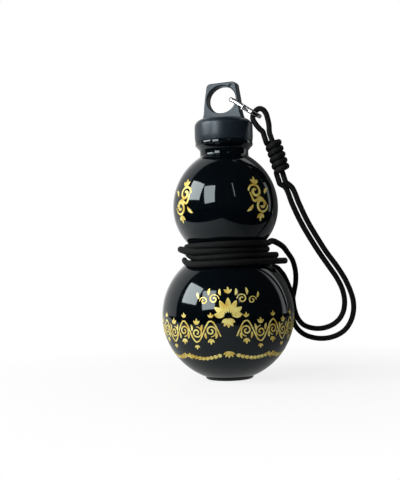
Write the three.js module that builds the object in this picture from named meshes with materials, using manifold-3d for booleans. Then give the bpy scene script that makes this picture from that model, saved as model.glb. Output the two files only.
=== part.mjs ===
// Gourd water bottle: a double-bulb bottle with a screw cap, a carry loop moulded on the cap,
// a small carabiner and a cord lanyard that is knotted at the carabiner and wound round the waist.
// Millimetres, +Z up. The origin is the middle of the foot and the front faces -Y.

import * as THREE from 'three';
import { mergeVertices } from 'three/addons/utils/BufferGeometryUtils.js';
import Module from 'manifold-3d';

// Clearances
const gap = 0.3;
const overrun = 2;

// Bottle
const wall = 2;
const lowerBulbRadius = 49.1;
const footSink = 1.3;
const bulbSpacing = 79.6;
const upperBulbRadius = 39.1;
const upperBaseCurve = 38.6;
const upperCrownCurve = 44.2;
const waistFillet = 10;
const footRadius = 18;
const footFillet = 2;
const puntRadius = 11;
const puntDepth = 1;
const floorThickness = 2;
const finishRadius = 17.4;
const finishWall = 2.5;
const finishLength = 13;
const lipFillet = 0.8;
const neckStep = 0.65;
const neckFillet = 2.5;
const neckLength = 3.37;
const collarTaper = 3;
const collarBand = 2.6;
const collarInset = 0.3;

// Cap with its carry loop
const threadRoom = 1.6;
const capWall = 2.7;
const capDraft = 0.4;
const capDraftHeight = 4;
const capTopThickness = 3;
const capShoulder = 5.5;
const capCrownCurve = 95;
const capLipBevel = 0.5;
const sealThickness = 2;
const sealOverlap = 2;
const sealBevel = 0.4;
const sealRibThickness = 1;
const sealRibDepth = 1.8;
const capTurn = -23 * Math.PI / 180;
const loopRise = 26;
const loopSill = 3.4;
const loopRim = 2.6;
const loopSink = 2.4;
const loopThickness = 7.2;
const loopHoleHalfWidth = 11.4;
const loopLimb = 2.9;
const loopFootFlare = 1.9;
const loopTopTaper = 2.1;
const loopCorner = 4.2;
const loopBevel = 0.9;
const loopDimpleRadius = 1.7;
const loopDimpleDepth = 1.2;

// Carabiner
const bowReach = 3.1;
const bowDrop = 1;
const carabinerDroop = 34.2 * Math.PI / 180;
const carabinerPlay = 3.6;
const carabinerBar = 2.4;
const carabinerThickness = 3.2;
const carabinerCorner = 5;
const carabinerBevel = 0.6;
const noseLength = 1.9;
const gateLength = 9.9;
const gateThickness = 2.4;
const gateTailLength = 2.3;
const cheekThickness = 0.7;
const slotLength = 6;
const carabinerEnd = 6.3;
const rivetRadius = 0.6;
const rivetHeadRadius = 1.1;
const rivetHeadThickness = 0.4;
const springWire = 0.34;
const springRadius = 0.42;
const springTurns = 4;

// Cord
const cordDiameter = 4;
const knotTop = [34.6, -12, 176.6];
const knotTilt = 16.6 * Math.PI / 180;
const knotTurns = 5;
const knotPitch = 4.55;
const knotRadius = 4.45;
const knotBend = 3;
const hitchTurns = 4;
const hitchSpacing = 4.5;
const hitchSeat = 0.6;

// Facets
const chordSag = 0.2;
const bodySegments = 40;
const capSegments = 40;
const smallSegments = 16;
const bevelSteps = 2;
const loopSteps = 24;
const knotBendSteps = 3;
const springSteps = 8;

const bottleColour = 0x07090f;
const capColour = 0x24292e;
const sealColour = 0xd8d8d2;
const chromeColour = 0xc9ccd0;
const cordColour = 0x0b0c0d;

// Places that follow from the sizes
const lowerBulbHeight = lowerBulbRadius - footSink;
const upperBulbHeight = lowerBulbHeight + bulbSpacing;
const neckBore = finishRadius - finishWall;
const neckRadius = finishRadius + neckStep;
const neckOut = neckRadius + neckFillet + upperCrownCurve - upperBulbRadius;
const neckRise = Math.sqrt((upperCrownCurve + neckFillet) ** 2 - neckOut ** 2);
const collarTop = upperBulbHeight + neckRise + neckLength + collarTaper + collarBand;
const lipTop = collarTop + finishLength;
const capBottom = collarTop + gap;
const capBore = finishRadius + threadRoom;
const capRadius = capBore + capWall;
const collarRadius = capRadius - collarInset;
const sealBottom = lipTop + gap;
const sealInnerRadius = neckBore - sealOverlap;
const capCeiling = sealBottom + sealThickness + gap;
const capTop = capCeiling + capTopThickness;
const loopTop = capTop + loopRise;
const loopHoleHalfHeight = (loopRise - loopSill - loopRim) / 2;
const loopHoleHeight = capTop + loopSill + loopHoleHalfHeight;
const loopMiddleHalf = loopHoleHalfWidth + loopLimb;
const loopFootHalf = loopMiddleHalf + loopFootFlare;
const loopTopHalf = loopMiddleHalf - loopTopTaper;
const cordRadius = cordDiameter / 2;
const pivotOut = loopHoleHalfWidth - bowReach;
const pivotHeight = loopHoleHeight - bowDrop;
const carabinerInside = loopThickness + carabinerPlay;
const slotWidth = carabinerThickness - 2 * cheekThickness;

const wasm = await Module();
wasm.setup();

// Points of an arc about (r, z), from one angle to another, in degrees from the outward direction
function arc(r, z, radius, from, to) {
  const step = 2 * Math.acos(1 - chordSag / radius);
  const steps = Math.ceil(THREE.MathUtils.degToRad(Math.abs(to - from)) / step);
  const points = [];
  for (let i = 0; i <= steps; i++) {
    const a = THREE.MathUtils.degToRad(from + (to - from) * i / steps);
    points.push([r + radius * Math.cos(a), z + radius * Math.sin(a)]);
  }
  return points;
}

function angleOf(r, z, point) {
  return THREE.MathUtils.radToDeg(Math.atan2(point[1] - z, point[0] - r));
}

// The outer one of the two points at given distances from two centres
function meet(a, reachA, b, reachB) {
  const dr = b[0] - a[0];
  const dz = b[1] - a[1];
  const span = Math.hypot(dr, dz);
  const along = (span ** 2 + reachA ** 2 - reachB ** 2) / (2 * span);
  const across = Math.sqrt(reachA ** 2 - along ** 2);
  return [a[0] + (dr * along + dz * across) / span, a[1] + (dz * along - dr * across) / span];
}

function asSolid(geometry) {
  const plain = geometry.clone();
  plain.deleteAttribute('normal');
  plain.deleteAttribute('uv');
  const merged = mergeVertices(plain);
  return new wasm.Manifold(new wasm.Mesh({
    numProp: 3,
    vertProperties: new Float32Array(merged.attributes.position.array),
    triVerts: new Uint32Array(merged.index.array),
  }));
}

function asGeometry(solid) {
  const mesh = solid.getMesh();
  const geometry = new THREE.BufferGeometry();
  geometry.setAttribute('position', new THREE.BufferAttribute(mesh.vertProperties, 3));
  geometry.setIndex(new THREE.BufferAttribute(mesh.triVerts, 1));
  geometry.computeVertexNormals();
  return geometry;
}

// A turned solid about Z from points [r, z]
function turned(points, segments) {
  const profile = points.map(([r, z]) => new THREE.Vector2(r, z));
  return new THREE.LatheGeometry(profile, segments).rotateX(Math.PI / 2);
}

// A round bar along Z between two heights
function bar(radius, from, to, segments) {
  const length = to - from;
  return new THREE.CylinderGeometry(radius, radius, length, segments)
    .rotateX(Math.PI / 2)
    .translate(0, 0, from + length / 2);
}

function block(x0, x1, y0, y1, z0, z1) {
  return new THREE.BoxGeometry(x1 - x0, y1 - y0, z1 - z0)
    .translate((x0 + x1) / 2, (y0 + y1) / 2, (z0 + z1) / 2);
}

function circleShape(radius, sides) {
  const points = [];
  for (let i = 0; i < sides; i++) {
    const a = 2 * Math.PI * i / sides;
    points.push(new THREE.Vector2(radius * Math.cos(a), radius * Math.sin(a)));
  }
  return new THREE.Shape(points);
}

// A tube of the given radius along a curve
function tube(curve, radius, sides, steps) {
  return new THREE.ExtrudeGeometry(circleShape(radius, sides), { steps, extrudePath: curve });
}

function curveThrough(points) {
  const vectors = points.map((p) => (p.isVector3 ? p : new THREE.Vector3(...p)));
  return new THREE.CatmullRomCurve3(vectors, false, 'centripetal');
}

// The least gap of a wound tube to itself, on points along it
function leastGap(curve, diameter) {
  const length = curve.getLength();
  const count = Math.ceil(4 * length / diameter);
  const points = curve.getSpacedPoints(count);
  const apart = Math.ceil(3 * diameter / (length / count));
  let least = Infinity;
  for (let i = 0; i < points.length; i++) {
    for (let j = i + apart; j < points.length; j++) {
      least = Math.min(least, points[i].distanceTo(points[j]) - diameter);
    }
  }
  return least;
}

// Bottle outline, foot to collar, as arcs that run into each other
const lowerCentre = [0, lowerBulbHeight];
const baseCentre = [upperBulbRadius - upperBaseCurve, upperBulbHeight];
const crownCentre = [upperBulbRadius - upperCrownCurve, upperBulbHeight];
const waistCentre = meet(
  lowerCentre, lowerBulbRadius + waistFillet, baseCentre, upperBaseCurve + waistFillet);
const waistLow = angleOf(...lowerCentre, waistCentre);
const waistHigh = angleOf(...baseCentre, waistCentre);
const neckCentre = [neckRadius + neckFillet, upperBulbHeight + neckRise];
const neckLow = angleOf(...crownCentre, neckCentre);

function bottleOutside() {
  const footTop = lowerBulbHeight - Math.sqrt(lowerBulbRadius ** 2 - footRadius ** 2);
  const footAngle = angleOf(...lowerCentre, [footRadius, footTop]);
  return [
    [0, puntDepth],
    [puntRadius - puntDepth, puntDepth],
    [puntRadius, 0],
    ...arc(footRadius - footFillet, footFillet, footFillet, -90, 0),
    ...arc(...lowerCentre, lowerBulbRadius, footAngle, waistLow),
    ...arc(...waistCentre, waistFillet, waistLow + 180, waistHigh + 180).slice(1),
    ...arc(...baseCentre, upperBaseCurve, waistHigh, 0).slice(1),
    ...arc(...crownCentre, upperCrownCurve, 0, neckLow).slice(1),
    ...arc(...neckCentre, neckFillet, neckLow - 180, -180).slice(1),
    [neckRadius, collarTop - collarBand - collarTaper],
    [collarRadius - lipFillet, collarTop - collarBand],
    [collarRadius, collarTop - collarBand + lipFillet],
    [collarRadius, collarTop],
    [finishRadius, collarTop],
    ...arc(finishRadius - lipFillet, lipTop - lipFillet, lipFillet, 0, 90),
  ];
}

function bottleInside() {
  const lower = lowerBulbRadius - wall;
  const base = upperBaseCurve - wall;
  const crown = upperCrownCurve - wall;
  const floorTop = puntDepth + floorThickness;
  const floorEdge = [Math.sqrt(lower ** 2 - (lowerBulbHeight - floorTop) ** 2), floorTop];
  const boreFoot = [neckBore, upperBulbHeight + Math.sqrt(crown ** 2 - (neckBore - crownCentre[0]) ** 2)];
  return [
    [neckBore, lipTop],
    ...arc(...crownCentre, crown, angleOf(...crownCentre, boreFoot), 0),
    ...arc(...baseCentre, base, 0, waistHigh).slice(1),
    ...arc(...waistCentre, waistFillet + wall, waistHigh + 180, waistLow + 180).slice(1),
    ...arc(...lowerCentre, lower, waistLow, angleOf(...lowerCentre, floorEdge)).slice(1),
    [0, floorTop],
  ];
}

function gourdBody() {
  return turned([...bottleOutside(), ...bottleInside()], bodySegments);
}

// Silicone ring between the lip and the cap's ceiling
function sealRing() {
  const outer = capBore - gap;
  const top = sealBottom + sealThickness;
  return turned([
    [sealInnerRadius, sealBottom],
    [outer - sealBevel, sealBottom],
    [outer, sealBottom + sealBevel],
    [outer, top - sealBevel],
    [outer - sealBevel, top],
    [sealInnerRadius, top],
    [sealInnerRadius, sealBottom],
  ], capSegments);
}

// Cap skirt, shoulder and crown, with the rib inside that holds the seal
function capShell() {
  const ribOuter = sealInnerRadius - gap;
  const crownFloor = capTop - capCrownCurve;
  const shoulderOut = capRadius - capShoulder;
  const shoulderUp = crownFloor + Math.sqrt((capCrownCurve - capShoulder) ** 2 - shoulderOut ** 2);
  const shoulderEnd = angleOf(0, crownFloor, [shoulderOut, shoulderUp]);
  return turned([
    [0, capCeiling],
    [ribOuter - sealRibThickness, capCeiling],
    [ribOuter - sealRibThickness, capCeiling - sealRibDepth],
    [ribOuter, capCeiling - sealRibDepth],
    [ribOuter, capCeiling],
    [capBore, capCeiling],
    [capBore, capBottom],
    [capRadius - capDraft - capLipBevel, capBottom],
    [capRadius - capDraft, capBottom + capLipBevel],
    [capRadius, capBottom + capDraftHeight],
    ...arc(shoulderOut, shoulderUp, capShoulder, 0, shoulderEnd),
    ...arc(0, crownFloor, capCrownCurve, shoulderEnd, 90).slice(1),
  ], capSegments);
}

// Carry loop as a plate across X, standing on the crown, with its hole and moulding dimple
function carryLoop() {
  const foot = capTop - loopSink;
  const knee = loopHoleHeight - loopHoleHalfHeight / 2;
  const cornerStart = loopTop - loopCorner;
  const outline = new THREE.Shape();
  outline.moveTo(-loopFootHalf, foot);
  outline.lineTo(loopFootHalf, foot);
  outline.lineTo(loopFootHalf, foot + 2 * loopBevel);
  outline.quadraticCurveTo(loopMiddleHalf, loopHoleHeight - loopHoleHalfHeight, loopMiddleHalf, knee);
  outline.lineTo(loopTopHalf, cornerStart);
  outline.quadraticCurveTo(loopTopHalf, loopTop, loopTopHalf - loopCorner, loopTop);
  outline.lineTo(loopCorner - loopTopHalf, loopTop);
  outline.quadraticCurveTo(-loopTopHalf, loopTop, -loopTopHalf, cornerStart);
  outline.lineTo(-loopMiddleHalf, knee);
  outline.quadraticCurveTo(
    -loopMiddleHalf, loopHoleHeight - loopHoleHalfHeight, -loopFootHalf, foot + 2 * loopBevel);
  outline.lineTo(-loopFootHalf, foot);
  const hole = new THREE.Path();
  hole.absellipse(0, loopHoleHeight, loopHoleHalfWidth, loopHoleHalfHeight, 0, 2 * Math.PI, true);
  outline.holes.push(hole);
  const plate = new THREE.ExtrudeGeometry(outline, {
    depth: loopThickness - 2 * loopBevel,
    bevelThickness: loopBevel,
    bevelSize: loopBevel,
    bevelOffset: -loopBevel,
    bevelSegments: bevelSteps,
    curveSegments: smallSegments,
    steps: 1,
  }).translate(0, 0, loopBevel - loopThickness / 2).rotateX(Math.PI / 2);
  const face = -loopThickness / 2;
  const dimple = bar(loopDimpleRadius, -overrun, loopDimpleDepth, smallSegments)
    .rotateX(-Math.PI / 2)
    .translate(loopTopHalf - loopCorner, face, loopTop - loopCorner + loopBevel);
  return asSolid(plate).subtract(asSolid(dimple));
}

function cap() {
  return asGeometry(asSolid(capShell()).add(carryLoop()));
}

// Carabiner in its own frame: X runs from the bow in the carry loop to the cord end,
// +Y is the gate's side and Z goes through its thickness. The origin is on the bow's centre line.
const frameStart = -carabinerBar / 2;
const legCentre = (carabinerInside + carabinerBar) / 2;
const gateTip = frameStart + carabinerBar + noseLength;
const rivetX = gateTip + gateLength;
const slotEnd = rivetX + slotLength;
const frameEnd = slotEnd + carabinerEnd;
const cheekStart = rivetX - gateTailLength + 2 * gap;
const tailThickness = slotWidth - 2 * gap;

function roundedFrame(x0, x1, half, corner, path) {
  path.moveTo(x0 + corner, -half);
  path.lineTo(x1 - corner, -half);
  path.absarc(x1 - corner, corner - half, corner, -Math.PI / 2, 0, false);
  path.lineTo(x1, half - corner);
  path.absarc(x1 - corner, half - corner, corner, 0, Math.PI / 2, false);
  path.lineTo(x0 + corner, half);
  path.absarc(x0 + corner, half - corner, corner, Math.PI / 2, Math.PI, false);
  path.lineTo(x0, corner - half);
  path.absarc(x0 + corner, corner - half, corner, Math.PI, 3 * Math.PI / 2, false);
  return path;
}

function carabinerFrame() {
  const half = legCentre + carabinerBar / 2;
  const outline = roundedFrame(frameStart, frameEnd, half, carabinerCorner, new THREE.Shape());
  const inner = [frameStart + carabinerBar, frameEnd - carabinerBar, half - carabinerBar];
  outline.holes.push(roundedFrame(...inner, carabinerCorner - carabinerBar, new THREE.Path()));
  const ring = new THREE.ExtrudeGeometry(outline, {
    depth: carabinerThickness - 2 * carabinerBevel,
    bevelThickness: carabinerBevel,
    bevelSize: carabinerBevel,
    bevelOffset: -carabinerBevel,
    bevelSegments: bevelSteps,
    curveSegments: smallSegments / 2,
    steps: 1,
  }).translate(0, 0, carabinerBevel - carabinerThickness / 2);
  const inside = legCentre - carabinerBar / 2 - gap;
  const outside = half + gap;
  const deep = carabinerThickness;
  const mouth = block(gateTip - gap, cheekStart, inside, outside, -deep, deep);
  const slot = block(cheekStart - gap, slotEnd, inside, outside, -slotWidth / 2, slotWidth / 2);
  const eye = bar(rivetRadius + gap, -deep, deep, smallSegments).translate(rivetX, legCentre, 0);
  return asGeometry(asSolid(ring).subtract(asSolid(mouth)).subtract(asSolid(slot)).subtract(asSolid(eye)));
}

// Gate about the origin of its rivet: a bar with a thin round-ended tail in the frame's slot
function carabinerGate() {
  const half = gateThickness / 2;
  const side = new THREE.Shape();
  side.moveTo(-gateLength, -half);
  side.lineTo(-gateTailLength, -half);
  side.lineTo(-gateTailLength, half);
  side.lineTo(-gateLength, half);
  const tailRadius = carabinerBar / 2;
  const blade = new THREE.ExtrudeGeometry(side, {
    depth: gateThickness - 2 * carabinerBevel,
    bevelThickness: carabinerBevel,
    bevelSize: carabinerBevel,
    bevelOffset: -carabinerBevel,
    bevelSegments: bevelSteps,
    curveSegments: smallSegments / 4,
    steps: 1,
  }).translate(0, 0, carabinerBevel - half);
  const thin = tailThickness / 2;
  const neck = block(-gateTailLength - carabinerBar, 0, -tailRadius, tailRadius, -thin, thin);
  const tail = bar(tailRadius, -thin, thin, smallSegments);
  const bore = bar(rivetRadius + gap, -half, half, smallSegments);
  return asGeometry(asSolid(blade).add(asSolid(neck)).add(asSolid(tail)).subtract(asSolid(bore)));
}

function gateRivet() {
  const face = carabinerThickness / 2 + gap;
  const end = face + rivetHeadThickness;
  return turned([
    [0, -end],
    [rivetHeadRadius, -end],
    [rivetHeadRadius, -face],
    [rivetRadius, -face],
    [rivetRadius, face],
    [rivetHeadRadius, face],
    [rivetHeadRadius, end],
    [0, end],
  ], smallSegments);
}

// Coil spring in the slot, between the gate's tail and the slot's end
function gateSpring() {
  const start = rivetX + carabinerBar / 2 + gap + springWire / 2;
  const end = slotEnd - gap - springWire / 2;
  const steps = springTurns * springSteps;
  const points = [];
  for (let i = 0; i <= steps; i++) {
    const a = 2 * Math.PI * i / springSteps;
    const x = start + (end - start) * i / steps;
    points.push([x, legCentre + springRadius * Math.cos(a), springRadius * Math.sin(a)]);
  }
  const curve = curveThrough(points);
  console.log('gate_spring least gap to itself', leastGap(curve, springWire).toFixed(2));
  return tube(curve, springWire / 2, 5, steps);
}

// Carabiner groups: the plate's frame turned with the cap, then drooped about the bow
const plateFrame = new THREE.Group();
plateFrame.rotation.z = capTurn;
const carabinerPlace = new THREE.Group();
const frontShift = (carabinerInside - loopThickness) / 2 - gap;
carabinerPlace.position.set(pivotOut, -frontShift, pivotHeight);
carabinerPlace.rotation.y = carabinerDroop;
const carabinerFlip = new THREE.Group();
carabinerFlip.rotation.x = Math.PI;
const gatePlace = new THREE.Group();
gatePlace.position.set(rivetX, legCentre, 0);

// Knot frame: Z runs down the knot from its top
const knotAxis = new THREE.Vector3(Math.sin(knotTilt), 0, -Math.cos(knotTilt));
const knotSide = new THREE.Vector3(Math.cos(knotTilt), 0, Math.sin(knotTilt));
const knotBack = new THREE.Vector3(0, 1, 0);

function knotPoint(across, back, along) {
  return new THREE.Vector3(...knotTop)
    .addScaledVector(knotSide, across)
    .addScaledVector(knotBack, back)
    .addScaledVector(knotAxis, along);
}

const knotGirth = 2 * Math.PI * knotRadius;
const knotRise = 2 * knotBend + (knotTurns * knotGirth - 2 * knotBend) * knotPitch / knotGirth;
const stub = cordDiameter;

// The winding, unrolled: down the stub, a quarter bend, the turns, a quarter bend and a stub
function knotWinding() {
  const flat = [[0, -stub], [0, -stub / 2]];
  for (let i = 0; i <= knotBendSteps; i++) {
    const a = Math.PI / 2 * i / knotBendSteps;
    flat.push([knotBend * (1 - Math.cos(a)), knotBend * Math.sin(a)]);
  }
  const lead = flat.slice().reverse();
  const steps = loopSteps * knotTurns;
  const run = knotTurns * knotGirth - 2 * knotBend;
  for (let i = 1; i < steps; i++) {
    flat.push([knotBend + run * i / steps, knotBend + (knotRise - 2 * knotBend) * i / steps]);
  }
  for (const [w, s] of lead) {
    flat.push([knotTurns * knotGirth - w, knotRise - s]);
  }
  const points = flat.map(([w, s]) => {
    const a = Math.PI + w / knotRadius;
    return knotPoint(knotRadius * Math.cos(a), -knotRadius * Math.sin(a), s);
  });
  const curve = curveThrough(points);
  console.log('cord_knot least gap to itself', leastGap(curve, cordDiameter).toFixed(2));
  return curve;
}

// Eye of the cord: from the winding's upper stub, through the carabiner and back down the core
const eyeRoute = [
  [26.4, -12, 183.3], [23.8, -11.8, 186.6], [21.9, -11.2, 189.9], [21.6, -10.9, 192.6],
  [22.6, -11.2, 194.8], [24, -11.7, 196.9], [26.6, -12.1, 198.1], [29.2, -12.2, 197.2],
  [31.3, -12.2, 194.3], [32.4, -12.1, 190.4], [33.2, -12, 186.2],
];

function cordEye() {
  const start = knotPoint(-knotRadius, 0, -stub - gap);
  const points = [
    start,
    start.clone().addScaledVector(knotAxis, -cordRadius),
    ...eyeRoute,
    knotPoint(0, 0, -stub),
    knotPoint(0, 0, 0),
    knotPoint(0, 0, knotRise / 2),
    knotPoint(0, 0, knotRise),
    knotPoint(0, 0, knotRise + stub),
  ];
  return curveThrough(points);
}

// Waist hitch: the cord is wound down the waist, sagging in front, with slack at left and right
function clearOfBottle(z) {
  const reach = cordRadius + hitchSeat;
  const low = lowerBulbRadius + reach;
  const high = upperBaseCurve + reach;
  if (z < lowerCentre[1] + low * Math.sin(THREE.MathUtils.degToRad(waistLow))) {
    return Math.sqrt(low ** 2 - (z - lowerCentre[1]) ** 2);
  }
  if (z > baseCentre[1] + high * Math.sin(THREE.MathUtils.degToRad(waistHigh))) {
    return baseCentre[0] + Math.sqrt(high ** 2 - (z - baseCentre[1]) ** 2);
  }
  return waistCentre[0] - Math.sqrt((waistFillet - reach) ** 2 - (z - waistCentre[1]) ** 2);
}

function hump(angle, centre, width) {
  const off = Math.atan2(Math.sin(angle - centre), Math.cos(angle - centre)) / width;
  return Math.abs(off) < 1 ? Math.cos(off * Math.PI / 2) : 0;
}

// The nth turn's rise at the left, and its looseness at the left and the right, as shares of the spacing
const leftRiseShares = [0.05, 0.78, 0.95, 0.95];
const leftSlackShares = [0, 1.18, 0, 0];
const rightSlackShares = [0, 0.3, 1.7, 2.2, 0];
const hitchEndTurn = hitchTurns - 5 / loopSteps;
const leftRiseWidth = 58 * Math.PI / 180;
const rightSlackAngle = 8 * Math.PI / 180;
const rightSlackWidth = 50 * Math.PI / 180;
const hitchTopShare = 1.27;
const hitchTop = waistCentre[1] + hitchTopShare * hitchSpacing;

function hitchPoint(turn) {
  const a = -2 * Math.PI * turn;
  const left = hump(a, Math.PI, Math.PI / 2);
  const lift = hump(a, Math.PI, leftRiseWidth) ** 2;
  const right = hump(a, rightSlackAngle, rightSlackWidth) ** 2;
  const here = Math.floor(turn);
  const rise = leftRiseShares[here] * lift;
  const slack = leftSlackShares[here] * left + rightSlackShares[Math.round(turn)] * right;
  const z = hitchTop + hitchSpacing * (rise - turn);
  const r = clearOfBottle(z) + hitchSpacing * slack;
  return new THREE.Vector3(r * Math.cos(a), r * Math.sin(a), z);
}

const hitchOuterEnd = [46, 13.5, 93.5];
const hitchEntry = [[43.3, 11.2, 97], [38.5, 6.5, 100.2], [34.2, 0.5, 101.6]];
const hitchExit = [[26.5, 31.4, 82.6], [38.4, 19.2, 81.4]];
const hitchInnerEnd = [41.5, 17.5, 78];

function hitchCurve() {
  const points = [hitchOuterEnd, ...hitchEntry];
  const steps = Math.round(loopSteps * hitchEndTurn);
  for (let i = 1; i <= steps; i++) {
    points.push(hitchPoint(i / loopSteps));
  }
  points.push(...hitchExit, hitchInnerEnd);
  const curve = curveThrough(points);
  console.log('waist_hitch least gap to itself', leastGap(curve, cordDiameter).toFixed(2));
  return curve;
}

// Free stretches, from the knot down to a bend beside the bulb and up behind it to the hitch
const outerUpper = [
  [49, -11, 140], [54.2, -9.4, 127.8], [60, -7.4, 115.4], [66.8, -5.4, 103.6], [74, -3.2, 92.2],
  [81.7, -1, 81.7], [86.8, 0.8, 73.8],
];
const outerLower = [
  [87.6, 1, 72.4], [91.7, 3, 63.6], [94.2, 5, 55.4], [94.5, 7, 47.2], [92.4, 9, 39.3], [88, 11, 32.8],
  [81.5, 13.4, 28.6], [73.5, 16, 26.6], [64.8, 18.6, 27.2], [57.4, 21, 30.2], [52.2, 22.8, 35.6],
  [49.6, 23.6, 43], [49.4, 23.6, 52], [51, 22.4, 61.2], [52.6, 20.6, 70.2], [52.4, 18.4, 79],
  [50.2, 16, 87],
];
const innerUpper = [
  [44.1, -11, 140.2], [49.1, -9.4, 127.8], [54.8, -7.4, 115.4], [61.4, -5.4, 103.6], [68.4, -3.2, 92.4],
  [75.4, -1, 82.2], [80.2, 0.8, 75.4],
];
const innerLower = [
  [81.1, 1.1, 74], [84.9, 3, 67], [87.2, 5, 60.4], [88, 7, 53.6], [87, 9, 46.8], [83.7, 11, 40.8],
  [78.2, 13, 36.6], [71, 15, 34.4], [63.6, 16.6, 34.8], [57.4, 17.5, 37.4], [53.2, 17.5, 42.6],
  [50.8, 17.2, 50], [49.6, 16.6, 58.4], [47.2, 16.5, 66.5],
];

function unit(from, to) {
  return new THREE.Vector3(...to).sub(new THREE.Vector3(...from)).normalize();
}

// A stretch that starts square to one point and ends square to another, a gap away from each
function stretch(start, startWay, route, end, endWay) {
  const points = [];
  if (start) {
    points.push(start.clone().addScaledVector(startWay, gap));
    points.push(start.clone().addScaledVector(startWay, gap + cordDiameter / 2));
  }
  points.push(...route);
  if (end) {
    points.push(end.clone().addScaledVector(endWay, -gap - cordDiameter / 2));
    points.push(end.clone().addScaledVector(endWay, -gap));
  }
  return curveThrough(points);
}

const bottle = new THREE.Group();
const plainFinish = { metalness: 0 };

function piece(name, geometry, colour, finish, parent) {
  const material = new THREE.MeshStandardMaterial({ color: colour, ...plainFinish, ...finish });
  const mesh = new THREE.Mesh(geometry, material);
  mesh.name = name;
  parent.add(mesh);
  return mesh;
}

const gloss = { roughness: 0.08 };
const matte = { roughness: 0.6 };
const chrome = { roughness: 0.15, metalness: 1 };
const braid = { roughness: 0.9 };

bottle.add(plateFrame);
plateFrame.add(carabinerPlace);
carabinerPlace.add(carabinerFlip);
carabinerFlip.add(gatePlace);
piece('gourd_body', gourdBody(), bottleColour, gloss, bottle);
piece('seal_ring', sealRing(), sealColour, matte, bottle);
piece('cap', cap(), capColour, matte, plateFrame);
piece('carabiner_frame', carabinerFrame(), chromeColour, chrome, carabinerFlip);
piece('carabiner_gate', carabinerGate(), chromeColour, chrome, gatePlace);
piece('gate_rivet', gateRivet(), chromeColour, chrome, gatePlace);
piece('gate_spring', gateSpring(), chromeColour, chrome, carabinerFlip);

const knot = knotWinding();
const hitch = hitchCurve();
piece('cord_eye', tube(cordEye(), cordRadius, 8, 26), cordColour, braid, bottle);
piece('cord_knot', tube(knot, cordRadius, 6, loopSteps * knotTurns + 6), cordColour, braid, bottle);
piece('waist_hitch', tube(hitch, cordRadius, 6, loopSteps * hitchTurns + 4), cordColour, braid, bottle);

const coreEnd = knotPoint(0, 0, knotRise + stub);
const windingEnd = knotPoint(-knotRadius, 0, knotRise + stub);
const stretches = {
  cord_outer_upper: stretch(coreEnd, knotAxis, outerUpper),
  cord_inner_upper: stretch(windingEnd, knotAxis, innerUpper),
  cord_outer_lower: stretch(null, null, outerLower, new THREE.Vector3(...hitchOuterEnd),
    hitch.getTangent(0)),
  cord_inner_lower: stretch(null, null, innerLower, new THREE.Vector3(...hitchInnerEnd),
    hitch.getTangent(1).negate()),
};
for (const [name, curve] of Object.entries(stretches)) {
  const steps = Math.round(curve.getLength() / (2.5 * cordDiameter));
  piece(name, tube(curve, cordRadius, 8, steps), cordColour, braid, bottle);
}

export default bottle;
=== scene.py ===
# The looks of the gourd water bottle, in the CAD model's frame, in metres, with the front at -Y.
import math

import bmesh
import bpy
from mathutils import Matrix, Vector


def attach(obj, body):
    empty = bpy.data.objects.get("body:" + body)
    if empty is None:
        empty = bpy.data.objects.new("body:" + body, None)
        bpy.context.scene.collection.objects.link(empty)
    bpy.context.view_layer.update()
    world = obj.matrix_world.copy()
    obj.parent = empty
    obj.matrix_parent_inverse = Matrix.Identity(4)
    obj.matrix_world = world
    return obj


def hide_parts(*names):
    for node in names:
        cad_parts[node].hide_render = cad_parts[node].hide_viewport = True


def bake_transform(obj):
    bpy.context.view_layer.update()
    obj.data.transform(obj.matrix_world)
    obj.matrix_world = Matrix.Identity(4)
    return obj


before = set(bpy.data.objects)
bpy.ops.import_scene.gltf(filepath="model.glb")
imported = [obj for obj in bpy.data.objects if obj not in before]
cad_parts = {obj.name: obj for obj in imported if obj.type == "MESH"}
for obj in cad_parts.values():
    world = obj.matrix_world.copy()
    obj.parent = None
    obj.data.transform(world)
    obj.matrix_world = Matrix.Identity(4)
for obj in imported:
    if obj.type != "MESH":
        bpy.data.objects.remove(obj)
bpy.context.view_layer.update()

scene = bpy.context.scene
scene.view_settings.view_transform = "Standard"
MM = 0.001


# Camera at the photograph's angle, with a slight roll

CAMERA_PLACE = (0, -0.6, 0.08)
CAMERA_ROLL = math.radians(1.45)
FOCAL_PIXELS = 804
SHIFT_PIXELS = (-27.2, 31)
FRAME_HEIGHT = 480
SENSOR = 36


def make_camera():
    data = bpy.data.cameras.new("camera")
    data.sensor_width = SENSOR
    data.lens = FOCAL_PIXELS / FRAME_HEIGHT * SENSOR
    data.shift_x, data.shift_y = (pixels / FRAME_HEIGHT for pixels in SHIFT_PIXELS)
    camera = bpy.data.objects.new("camera", data)
    scene.collection.objects.link(camera)
    c, s = math.cos(CAMERA_ROLL), math.sin(CAMERA_ROLL)
    turn = Matrix(((c, s, 0), (0, 0, -1), (-s, c, 0)))
    camera.matrix_world = Matrix.Translation(CAMERA_PLACE) @ turn.to_4x4()
    scene.camera = camera


make_camera()


# Mesh tools: points are in millimetres and become metres in the mesh, and arcs take degrees

TINY = 1e-6
FLAT_ANGLE = math.radians(0.5)


def add_object(name, points, faces, sharp=None):
    mesh = bpy.data.meshes.new(name)
    mesh.from_pydata([Vector(p) * MM for p in points], [], faces)
    mesh.update()
    thing = bpy.data.objects.new(name, mesh)
    scene.collection.objects.link(thing)
    tidy_normals(thing)
    smooth(thing, sharp)
    return thing


def tidy_normals(thing):
    work = bmesh.new()
    work.from_mesh(thing.data)
    bmesh.ops.recalc_face_normals(work, faces=work.faces)
    work.to_mesh(thing.data)
    work.free()


def smooth(thing, sharp=None):
    mesh = thing.data
    mesh.polygons.foreach_set("use_smooth", [True] * len(mesh.polygons))
    if sharp:
        mesh.set_sharp_from_angle(angle=math.radians(sharp))


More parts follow.
